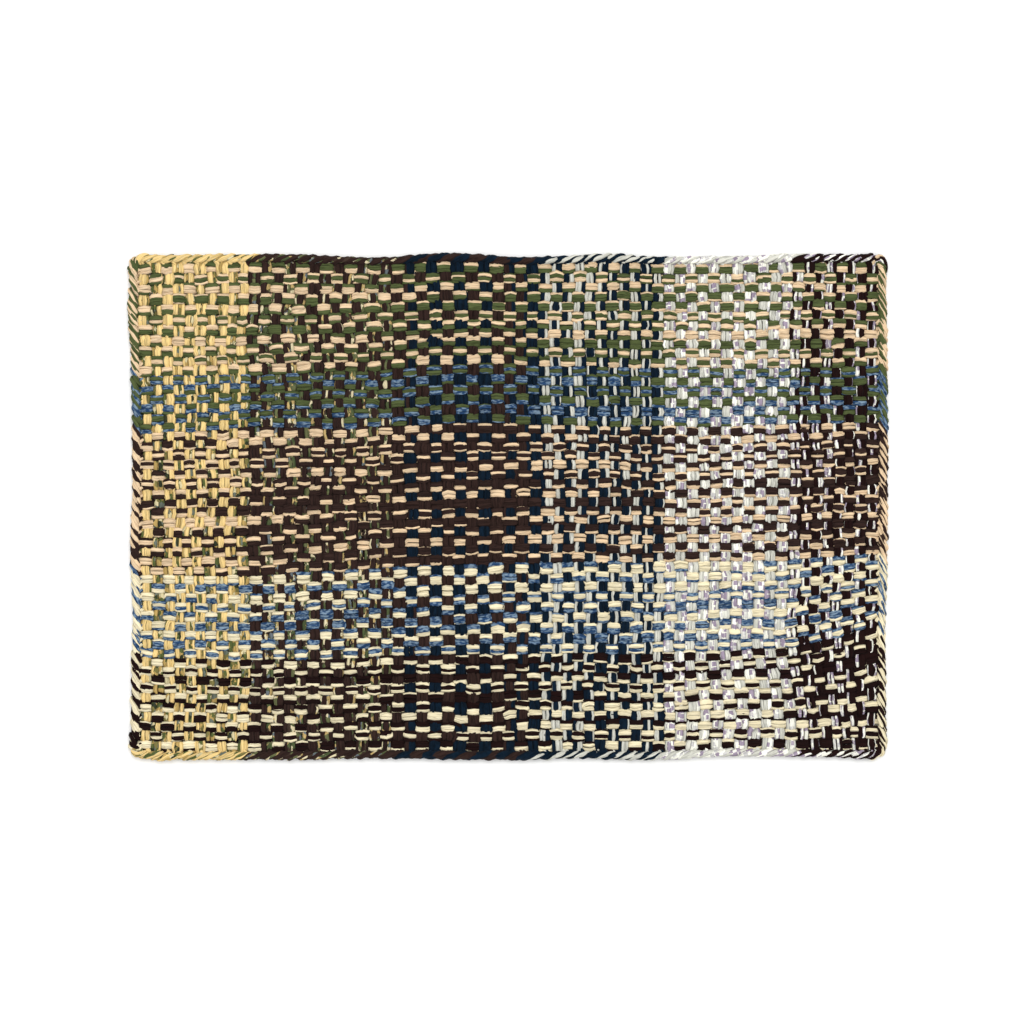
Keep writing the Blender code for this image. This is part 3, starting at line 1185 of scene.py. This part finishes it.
    def _lay_bundle(self, piece: StripPiece, bundle: Bundle) -> None:
        """Lay the strips of one bundle through all its crossings.

        Args:
            piece: The piece that gets the strips.
            bundle: The bundle.
        """
        places, rise, stripe, shares = bundle.places, bundle.rise, bundle.stripe, bundle.shares
        count = len(places)
        crossings, padding = np.arange(count)[:, None], np.arange(-1, count + 1)
        floats = (crossings + np.array([-self.shoulder, 0.0, self.shoulder])).ravel()
        knots = np.concatenate(([self.end_gap - 1.0], floats, [count - self.end_gap]))
        outwards = np.stack((places[0] - places[1], places[-1] - places[-2]))
        ends = places[[0, -1]] + outwards / np.linalg.norm(outwards, axis=1, keepdims=True) * self.reach
        padded = np.vstack((ends[:1], places, ends[1:]))
        path = np.stack([np.interp(knots, padding, padded[:, axis]) for axis in range(3)], axis=1)
        nearest = np.clip(np.rint(knots), 0, count - 1).astype(int)
        away = np.abs(knots - nearest)
        on_top, on_float = away < self.shoulder / 2, away < 0.5
        path[:, 2] += rise[nearest] * np.where(on_top, 1.0, np.where(on_float, self.shoulder_rise, 0.0))
        oval = self.rng.random(count)[nearest]
        swell = np.where(on_top, 1.0 + self.swollen[0] * oval, 1.0 - self.swollen[1] * oval)
        swell = swell * np.where(rise[nearest] > 0, 1.0, self.under_width)
        swell = swell * (1.0 + np.abs(self.rng.normal(0.0, self.puff, count))[nearest])
        plump = (self.rng.random(count) < self.plump_share) * self.rng.uniform(*self.plump_size, count)
        swell = swell * (1.0 + plump[nearest] * np.where(on_top, 1.0, self.shoulder_plump))
        swell = swell * np.clip(bundle.room, *self.room_limits)[nearest]
        held = nearest + (knots - nearest) * self.calm
        fade = 1.0 - 2.0 * knots / (count - 1)
        lateral = np.cross(np.gradient(path * [1, 1, 0], axis=0), UP)
        lateral /= np.linalg.norm(lateral, axis=1, keepdims=True)
        steps = self.rng.normal(0.0, self.twist_step, count + 2)
        jumps = self.rng.random(count + 2) < self.jump_share
        steps[jumps] += self.rng.choice([-1, 1], jumps.sum()) * self.rng.uniform(*self.jump_size, jumps.sum())
        twist = bundle.first_twist * math.tau + np.cumsum(steps)
        turn = np.interp(held, padding, twist)
        apart = math.tau * np.arange(len(shares)) / len(shares)
        outs = np.cos(turn + apart[:, None])
        furthest = np.where(outs > 0, outs.max(axis=0), -outs.min(axis=0))
        outs = outs / np.maximum(furthest, self.least_out)
        aside = self.spread * (self.own_swell * swell + (1.0 - self.own_swell) * self._smooth(swell))
        for place, which in enumerate(shares):
            angle = turn + apart[place]
            noise = self.rng.normal(0.0, self.strip_twist, count + 2)
            up = np.sin(angle + np.interp(held, padding, noise))
            out = outs[place]
            uneven = np.interp(held, padding, self.rng.uniform(*self.uneven_width, count + 2))
            fuller = (self.full_bundle / len(shares)) ** 0.5
            own = self.rng.uniform(*self.strip_width) * stripe.widths[which] * fuller
            own = own * (1.0 + fade * stripe.fade * (1 - 2 * which))
            width = self.half_width * own * uneven * swell * (1.0 - self.ridge * up**4)
            centre = path + lateral * (out * aside)[:, None]
            centre[:, 2] += up * self.stack
            tilt = self.roll * out * np.tanh(self.roll_ease * up)
            facing = UP * np.cos(tilt)[:, None] + lateral * np.sin(tilt)[:, None]
            thick = np.full(len(knots), self.half_thick * self.rng.uniform(*self.strip_thick))
            lowest = centre[:, 2] - width * np.abs(np.sin(tilt)) - thick * np.cos(tilt)
            centre[:, 2] += np.maximum(self.clearance - lowest, 0.0)
            piece.lay(centre, facing, width, thick, stripe.cloths[which])

    @staticmethod
    def _smooth(values: Array) -> Array:
        """Each value's mean with the two on either side of it."""
        padded = np.concatenate((values[:1], values[:1], values, values[-1:], values[-1:]))
        return np.convolve(padded, np.full(5, 0.2), mode="valid")


@dataclass(frozen=True)
class Link:
    """One link of the braid: where it lies, how long it is, and what its strips are.

    The way is its distance round the rug, the pitch the distance from link to link there, and the stride
    the length that a leaf's and a stem's rows are scaled by. The leaves are the widths of the leaves of the
    stripe's two cloths, the strands the link's strips, and the turn the bundle's number in its stripe.
    """

    way: float
    pitch: float
    stride: float
    stripe: Stripe
    leaves: tuple[float, float]
    strands: tuple[dict[str, float], ...]
    turn: int


@dataclass
class ChainedEdge:
    """The braid round the rug: the ends of the bundles chained into each other, clockwise."""

    shape: RugShape
    field_part: WovenField
    corner_radius: float = 0.021
    half_width: float = 0.0033
    half_thick: float = 0.00150
    plain_pitch: float = 0.0135
    rim_probe: float = 0.020
    rim_height: float = 0.0038
    inner_probe: float = 0.034
    inner_height: float = 0.003
    inner_edge: float = 0.014
    survey_step: float = 0.002
    shake_size: float = 1.0
    shift_shake: float = 0.07
    length_shake: float = 0.06
    out_shake: float = 0.045
    up_shake: float = 0.0002
    width_shake: float = 0.11
    lowest: float = 0.0022
    dropped_from: float = 0.005
    rope_middle: float = 0.0052
    lean_from: float = 0.42
    lean_over: float = 0.5
    lean_limits: tuple[float, float] = (-0.25, 1.0)
    tuck_out: float = 0.1
    tuck_up: float = 0.0038
    look_out: float = 0.1
    look_ahead: float = 0.001
    thick_share: float = 1.1
    thick_limits: tuple[float, float] = (0.7, 1.15)
    swap_slope: float = 2.0
    swap_from: float = 1.3
    shingle: float = 0.38
    leaf_rows_seen: int = 5
    stem_rows_seen: int = 2
    corner_links: int = 2
    seed: int = 7
    stride: float = 0.0155
    left_stride: float = 0.0126
    left_width: float = 1.08
    leaf: tuple[dict[str, float], ...] = (
        {"along": -0.40, "out": 0.17, "up": 0.0046, "width": 0.55},
        {"along": -0.28, "out": 0.24, "up": 0.0068, "width": 0.88},
        {"along": -0.08, "out": 0.35, "up": 0.0084, "width": 1.10},
        {"along": 0.22, "out": 0.50, "up": 0.0090, "width": 1.20},
        {"along": 0.54, "out": 0.67, "up": 0.0086, "width": 1.12},
        {"along": 0.82, "out": 0.81, "up": 0.0073, "width": 1.02},
        {"along": 1.00, "out": 0.90, "up": 0.0052, "width": 0.92},
        {"along": 1.08, "out": 0.92, "up": 0.0030, "width": 0.90},
        {"along": 1.05, "out": 0.72, "up": 0.0018, "width": 1.02},
        {"along": 0.84, "out": 0.18, "up": 0.0016, "width": 1.05},
        {"along": 0.72, "out": -0.40, "up": 0.0032, "width": 0.80},
    )
    loop: tuple[dict[str, float], ...] = (
        {"from_right": 0.0170, "from_back": 0.0165, "up": 0.0062, "width": 0.75},
        {"from_right": 0.0158, "from_back": 0.0095, "up": 0.0092, "width": 1.00},
        {"from_right": 0.0118, "from_back": 0.0058, "up": 0.0102, "width": 1.00},
        {"from_right": 0.0068, "from_back": 0.0075, "up": 0.0100, "width": 1.00},
        {"from_right": 0.0044, "from_back": 0.0130, "up": 0.0086, "width": 1.00},
        {"from_right": 0.0036, "from_back": 0.0190, "up": 0.0062, "width": 0.85},
        {"from_right": 0.0040, "from_back": 0.0235, "up": 0.0040, "width": 0.40},
    )
    loop_roll: float = 90.0
    loop_width: float = 0.72
    loop_strips: tuple[tuple[Cloth, dict[str, float]], ...] = (
        (Cloth.PEACH, {"first": 0, "last": 6, "shift_from": -0.0026, "shift_to": 0.0014, "sink": 0.0042}),
        (Cloth.BLACK, {"first": 2, "last": 7, "shift_from": 0.0012, "shift_to": -0.0016, "sink": 0.0000}),
        (Cloth.LILAC, {"first": 2, "last": 6, "shift_from": 0.0042, "shift_to": 0.0030, "sink": 0.0008}),
    )
    stem: tuple[dict[str, float], ...] = (
        {"along": 0.07, "out": -0.34, "up": 0.0038, "width": 0.80},
        {"along": -0.10, "out": 0.08, "up": 0.0066, "width": 0.90},
        {"along": -0.28, "out": 0.25, "up": 0.0074, "width": 0.80},
        {"along": -0.42, "out": 0.38, "up": 0.0060, "width": 0.55},
    )
    full_link: tuple[dict[str, float], ...] = (
        {"is_leaf": 0, "shift": -0.14, "cloth": 0, "width": 0.95, "drop": 0.0000},
        {"is_leaf": 0, "shift": 0.16, "cloth": 1, "width": 0.85, "drop": 0.0004},
        {"is_leaf": 1, "shift": -0.16, "cloth": 0, "width": 1.05, "drop": 0.0000},
        {"is_leaf": 1, "shift": 0.28, "cloth": 1, "width": 1.00, "drop": -0.0002},
    )
    slim_link: tuple[dict[str, float], ...] = (
        {"is_leaf": 0, "shift": 0.00, "cloth": 0, "width": 1.15, "drop": 0.0000},
        {"is_leaf": 1, "shift": -0.22, "cloth": 0, "width": 0.76, "drop": 0.0000},
        {"is_leaf": 1, "shift": 0.04, "cloth": 1, "width": 0.80, "drop": -0.0002},
        {"is_leaf": 1, "shift": 0.28, "cloth": 0, "width": 0.72, "drop": 0.0001},
    )
    slim_stretches: tuple[tuple[str, str], ...] = (
        ("right", "olive"),
        ("right", "blue"),
        ("right", "cocoa"),
        ("right", "cream"),
        ("right", "night"),
        ("left", "olive"),
        ("front", "butter"),
        ("front", "earth"),
    )
    rng: np.random.Generator = field(init=False)
    starts: Array = field(init=False)
    round: float = field(init=False)
    span: Array = field(init=False)
    rim: Array = field(init=False)
    inner: Array = field(init=False)

    def __post_init__(self) -> None:
        """Follow the braid's rim and inner side all the way round, clockwise from above."""
        self.rng = np.random.default_rng(self.seed)
        half_x, half_y = CAD_BOX[1].x, CAD_BOX[1].y
        radius = self.corner_radius
        long_side, wide_side = 2 * (half_x - radius), 2 * (half_y - radius)
        arc = radius * math.pi / 2
        self.starts = np.cumsum([0.0, long_side, arc, wide_side, arc, long_side, arc, wide_side, arc])
        self.round = float(self.starts[-1])
        self.span = np.arange(0.0, self.round, self.survey_step)
        corners = [(1, 1), (1, -1), (-1, -1), (-1, 1)]
        rim, inner = [], []
        for way in self.span:
            leg = int(np.searchsorted(self.starts, way, side="right")) - 1
            within, quarter = way - self.starts[leg], leg // 2
            sign_x, sign_y = corners[quarter]
            middle = Vector((sign_x * (half_x - radius), sign_y * (half_y - radius), 0.0))
            angle = math.pi / 2 * (1 - quarter)
            if leg % 2:
                angle -= within / radius
                start = middle
            else:
                heading = Vector((math.sin(angle), -math.cos(angle), 0.0))
                start = middle - heading * (self.starts[leg + 1] - way)
            outwards = Vector((math.cos(angle), math.sin(angle), 0.0))
            base = start + outwards * radius
            rim.append(self._meet(base + outwards * self.rim_probe, -outwards, self.rim_height, base))
            fallback = base - outwards * self.inner_edge
            start = base - outwards * self.inner_probe
            inner.append(self._meet(start, outwards, self.inner_height, fallback))
        self.rim, self.inner = np.array(rim), np.array(inner)

    def _meet(self, start: Vector, way: Vector, height: float, fallback: Vector) -> tuple[float, float]:
        """Find where a level line meets the braid.

        Args:
            start: Where the line starts, as seen from above.
            way: Its direction.
            height: Its height.
            fallback: The place to take if the line misses.

        Returns:
            The place along and across the rug.
        """
        place = self.shape.braid.ray_cast(Vector((start.x, start.y, height)), way)[0]
        place = fallback if place is None else place
        return place.x, place.y

    def _at(self, way: Array, out: Array) -> Array:
        """Places on the ground at distances round the rug and shares of the braid's width.

        Args:
            way: Distances round the rug.
            out: Shares of the width, from the inner side outwards.

        Returns:
            The places.
        """
        columns = []
        for axis in (0, 1):
            inner = np.interp(way, self.span, self.inner[:, axis], period=self.round)
            rim = np.interp(way, self.span, self.rim[:, axis], period=self.round)
            columns.append(inner + (rim - inner) * out)
        return np.stack(columns, axis=1)

    def _links(self) -> list[tuple[float, Stripe, int]]:
        """List the links in their order, one to each bundle and a few more round each corner.

        Returns:
            Each link's distance round the rug, the stripe that its loops come from, and its number in it.
        """
        warps = [(zone, number) for zone in WARP_ZONES for number in range(zone.count)]
        wefts = [(band, number) for band in WEFT_BANDS for number in range(band.count)]
        x, y = self.field_part.x, self.field_part.y
        half_x, half_y, radius = CAD_BOX[1].x, CAD_BOX[1].y, self.corner_radius
        top = [(x[0, i] + half_x - radius, *warps[i]) for i in range(len(warps))]
        right = [(self.starts[2] + half_y - radius - y[j, -1], *wefts[j]) for j in range(len(wefts))]
        bottom = [(self.starts[4] + half_x - radius - x[-1, i], *warps[i]) for i in range(len(warps))][::-1]
        left = [(self.starts[6] + y[j, 0] + half_y - radius, *wefts[j]) for j in range(len(wefts))][::-1]
        sides = [top, right, bottom, left]
        links = []
        for number, side in enumerate(sides):
            following = sides[(number + 1) % 4]
            links.extend(side)
            last = side[-1][0]
            gap = (following[0][0] - last) % self.round
            for extra in range(self.corner_links):
                share = (extra + 1) / (self.corner_links + 1)
                owner = side[-1] if share < 0.5 else following[0]
                links.append((last + gap * share, owner[1], owner[2] + extra))
        return links

    def build(self, materials: dict[Cloth, bpy.types.Material]) -> None:
        """Chain the links of all four sides.

        Args:
            materials: Material of every cloth.
        """
        names = ("back", "right", "front", "left")
        pieces = {name: StripPiece(f"chain_{name}", self.rng) for name in names}
        links = self._links()
        mitres = (self.starts[1::2] + self.starts[2::2]) / 2
        for number, (way, stripe, turn) in enumerate(links):
            after = links[(number + 1) % len(links)][0]
            before = links[number - 1][0]
            pitch = ((after - before) % self.round) / 2
            side = names[int(np.searchsorted(mitres, way % self.round)) % 4]
            leaves = stripe.front_leaves if side == "front" and stripe.front_leaves else stripe.leaves
            strands = self.slim_link if (side, stripe.name) in self.slim_stretches else self.full_link
            stride, breadth = (self.left_stride, self.left_width) if side == "left" else (self.stride, 1.0)
            leaves = tuple(width * breadth for width in leaves)
            self._lay_link(pieces[side], Link(way, pitch, stride, stripe, leaves, strands, turn))
        self._lay_corner_loop(pieces["right"])
        for name, piece in pieces.items():
            piece.finish(materials, f"edge_braid_{name}")

    def _lay_corner_loop(self, piece: StripPiece) -> None:
        """Lay the last loop of the braid, which stands curled over the back right corner.

        Args:
            piece: The piece that it belongs to.
        """
        rows = {key: np.array([row[key] for row in self.loop]) for key in self.loop[0]}
        middle = np.column_stack(
            (CAD_BOX[1].x - rows["from_right"], CAD_BOX[1].y - rows["from_back"], rows["up"])
        )
        tangent = np.gradient(middle, axis=0)
        inwards = np.cross(tangent, UP)
        inwards /= np.linalg.norm(inwards, axis=1, keepdims=True)
        for cloth, strip in self.loop_strips:
            part = slice(strip["first"], strip["last"])
            share = np.linspace(0.0, 1.0, strip["last"] - strip["first"])[:, None]
            shift = strip["shift_from"] + (strip["shift_to"] - strip["shift_from"]) * share
            centre = middle[part] + inwards[part] * shift - UP * share**2 * strip["sink"]
            facing = UP + inwards[part] * shift * self.loop_roll
            width = rows["width"][part] * self.half_width * self.loop_width
            thick = np.full(len(centre), self.half_thick)
            fine = [self._refine(values, len(centre)) for values in (centre, facing, width, thick)]
            piece.lay(*fine, cloth)

    def _lay_link(self, piece: StripPiece, link: Link) -> None:
        """Lay the strips of one link.

        Args:
            piece: The side's piece.
            link: The link.
        """
        solid = len(link.stripe.mixes) > 1
        swapped = link.leaves[1] * self.swap_slope - self.swap_from
        main = link.turn % 2 if solid else int(self.rng.random() < swapped)
        other = main if solid else 1 - main
        kinds = ((self.stem, self.stem_rows_seen), (self.leaf, self.leaf_rows_seen))
        for strand in link.strands:
            table, seen = kinds[strand["is_leaf"]]
            which = other if strand["cloth"] else main
            rows = {key: np.array([row[key] for row in table]) for key in table[0]}
            shift, outer, higher, wider, longer = self.rng.normal(0.0, self.shake_size, 5)
            along = rows["along"] * (1.0 + longer * self.length_shake)
            along = along + strand["shift"] + shift * self.shift_shake
            out = rows["out"] + outer * self.out_shake
            places = link.way + along * link.stride
            flat = self._at(places, out)
            drop = strand["drop"] * (rows["up"] > self.dropped_from)
            up = np.maximum(rows["up"] + higher * self.up_shake - drop, self.lowest)
            centre = np.column_stack((flat, up))
            outwards = self._at(places, out + self.look_out) - flat
            outwards /= np.linalg.norm(outwards, axis=1, keepdims=True)
            lean = np.clip((out - self.lean_from) / self.lean_over, *self.lean_limits)
            facing = np.column_stack((outwards * lean[:, None], (up - self.rope_middle) / self.rope_middle))
            tucked = out < self.tuck_out
            facing[tucked, 2] = np.where(up[tucked] > self.tuck_up, 1.0, -1.0)
            facing /= np.linalg.norm(facing, axis=1, keepdims=True)
            forward = self._at(places + self.look_ahead, out) - flat
            facing[:, :2] += forward / np.linalg.norm(forward, axis=1, keepdims=True) * self.shingle
            width = self.half_width * strand["width"] * link.leaves[which] * rows["width"]
            width = width * (link.pitch / self.plain_pitch) ** 0.5 * (1.0 + wider * self.width_shake)
            thick = self.half_thick * np.clip(rows["width"] * self.thick_share, *self.thick_limits)
            fine = [self._refine(values, seen) for values in (centre, facing, width, thick)]
            piece.lay(*fine, link.stripe.cloths[which])

    @staticmethod
    def _refine(values: Array, seen: int) -> Array:
        """Add a smooth point between every two rows of the part that is seen from above.

        Args:
            values: One row for each point.
            seen: How many of the first rows are seen.

        Returns:
            The finer rows, with the given ones among them.
        """
        table = values[:, None] if values.ndim == 1 else values
        slopes = (np.vstack((table[1:], table[-1:])) - np.vstack((table[:1], table[:-1]))) / 2
        between = (table[:-1] + table[1:]) / 2 + (slopes[:-1] - slopes[1:]) / 8
        rows = []
        for number, row in enumerate(table):
            rows.append(row)
            if number < min(seen, len(table) - 1):
                rows.append(between[number])
        fine = np.array(rows)
        return fine[:, 0] if values.ndim == 1 else fine


@dataclass
class Studio:
    """Pale floor, soft light and a camera that looks straight down, as in the photograph."""

    floor_size: float = 8.0
    floor_colour: str = "FAFAF9"
    floor_roughness: float = 0.9
    world_strength: float = 0.97
    lamp_power: float = 720.0
    lamp_size: float = 7.2
    lamp_place: tuple[float, float, float] = (1.8, 6.6, 12.0)
    lens: float = 85.0
    sensor: float = 36.0
    sight: float = 50.0
    view_width: float = 1.2272
    aim: tuple[float, float] = (0.0054, -0.0066)
    rug_top: float = 0.009

    def build(self) -> None:
        """Set up the floor, the lights and the camera."""
        self._floor()
        self._lights()
        self._camera()

    def _floor(self) -> None:
        """Lay the floor that the rug is photographed on."""
        half = self.floor_size / 2
        mesh = bpy.data.meshes.new("floor")
        corners = [(-half, -half, 0.0), (half, -half, 0.0), (half, half, 0.0), (-half, half, 0.0)]
        mesh.from_pydata(corners, [], [(0, 1, 2, 3)])
        floor = bpy.data.objects.new("floor", mesh)
        bpy.context.scene.collection.objects.link(floor)
        material = bpy.data.materials.new("pale_floor")
        material.use_nodes = True
        shader = material.node_tree.nodes["Principled BSDF"]
        shader.inputs["Base Color"].default_value = from_hex(self.floor_colour)
        shader.inputs["Roughness"].default_value = self.floor_roughness
        mesh.materials.append(material)

    def _lights(self) -> None:
        """Light the rug evenly, a little more from behind."""
        world = bpy.data.worlds.new("studio")
        world.use_nodes = True
        sky = world.node_tree.nodes["Background"]
        sky.inputs["Color"].default_value = (1.0, 1.0, 1.0, 1.0)
        sky.inputs["Strength"].default_value = self.world_strength
        bpy.context.scene.world = world
        data = bpy.data.lights.new("soft_lamp", "AREA")
        data.shape = "SQUARE"
        data.size = self.lamp_size
        data.energy = self.lamp_power
        lamp = bpy.data.objects.new("soft_lamp", data)
        lamp.location = self.lamp_place
        lamp.rotation_euler = (-lamp.location).to_track_quat("-Z", "Y").to_euler()
        bpy.context.scene.collection.objects.link(lamp)

    def _camera(self) -> None:
        """Hang the camera over the rug."""
        data = bpy.data.cameras.new("overhead")
        data.lens = self.lens
        data.sensor_width = self.sensor
        data.clip_end = self.sight
        camera = bpy.data.objects.new("overhead", data)
        distance = self.view_width * self.lens / self.sensor
        camera.location = (*self.aim, self.rug_top + distance)
        bpy.context.scene.collection.objects.link(camera)
        bpy.context.scene.camera = camera
        bpy.context.scene.view_settings.view_transform = "Standard"


def main() -> None:
    """Build the weave, the chained edge and the studio."""
    logging.basicConfig(level=logging.INFO, format="%(message)s")
    materials = {cloth: cloth.value.material() for cloth in Cloth}
    shape = RugShape(frame["nodes"])
    woven = WovenField(shape)
    Studio().build()
    woven.build(materials)
    ChainedEdge(shape, woven).build(materials)
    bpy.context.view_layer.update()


if __name__ == "__main__":
    main()
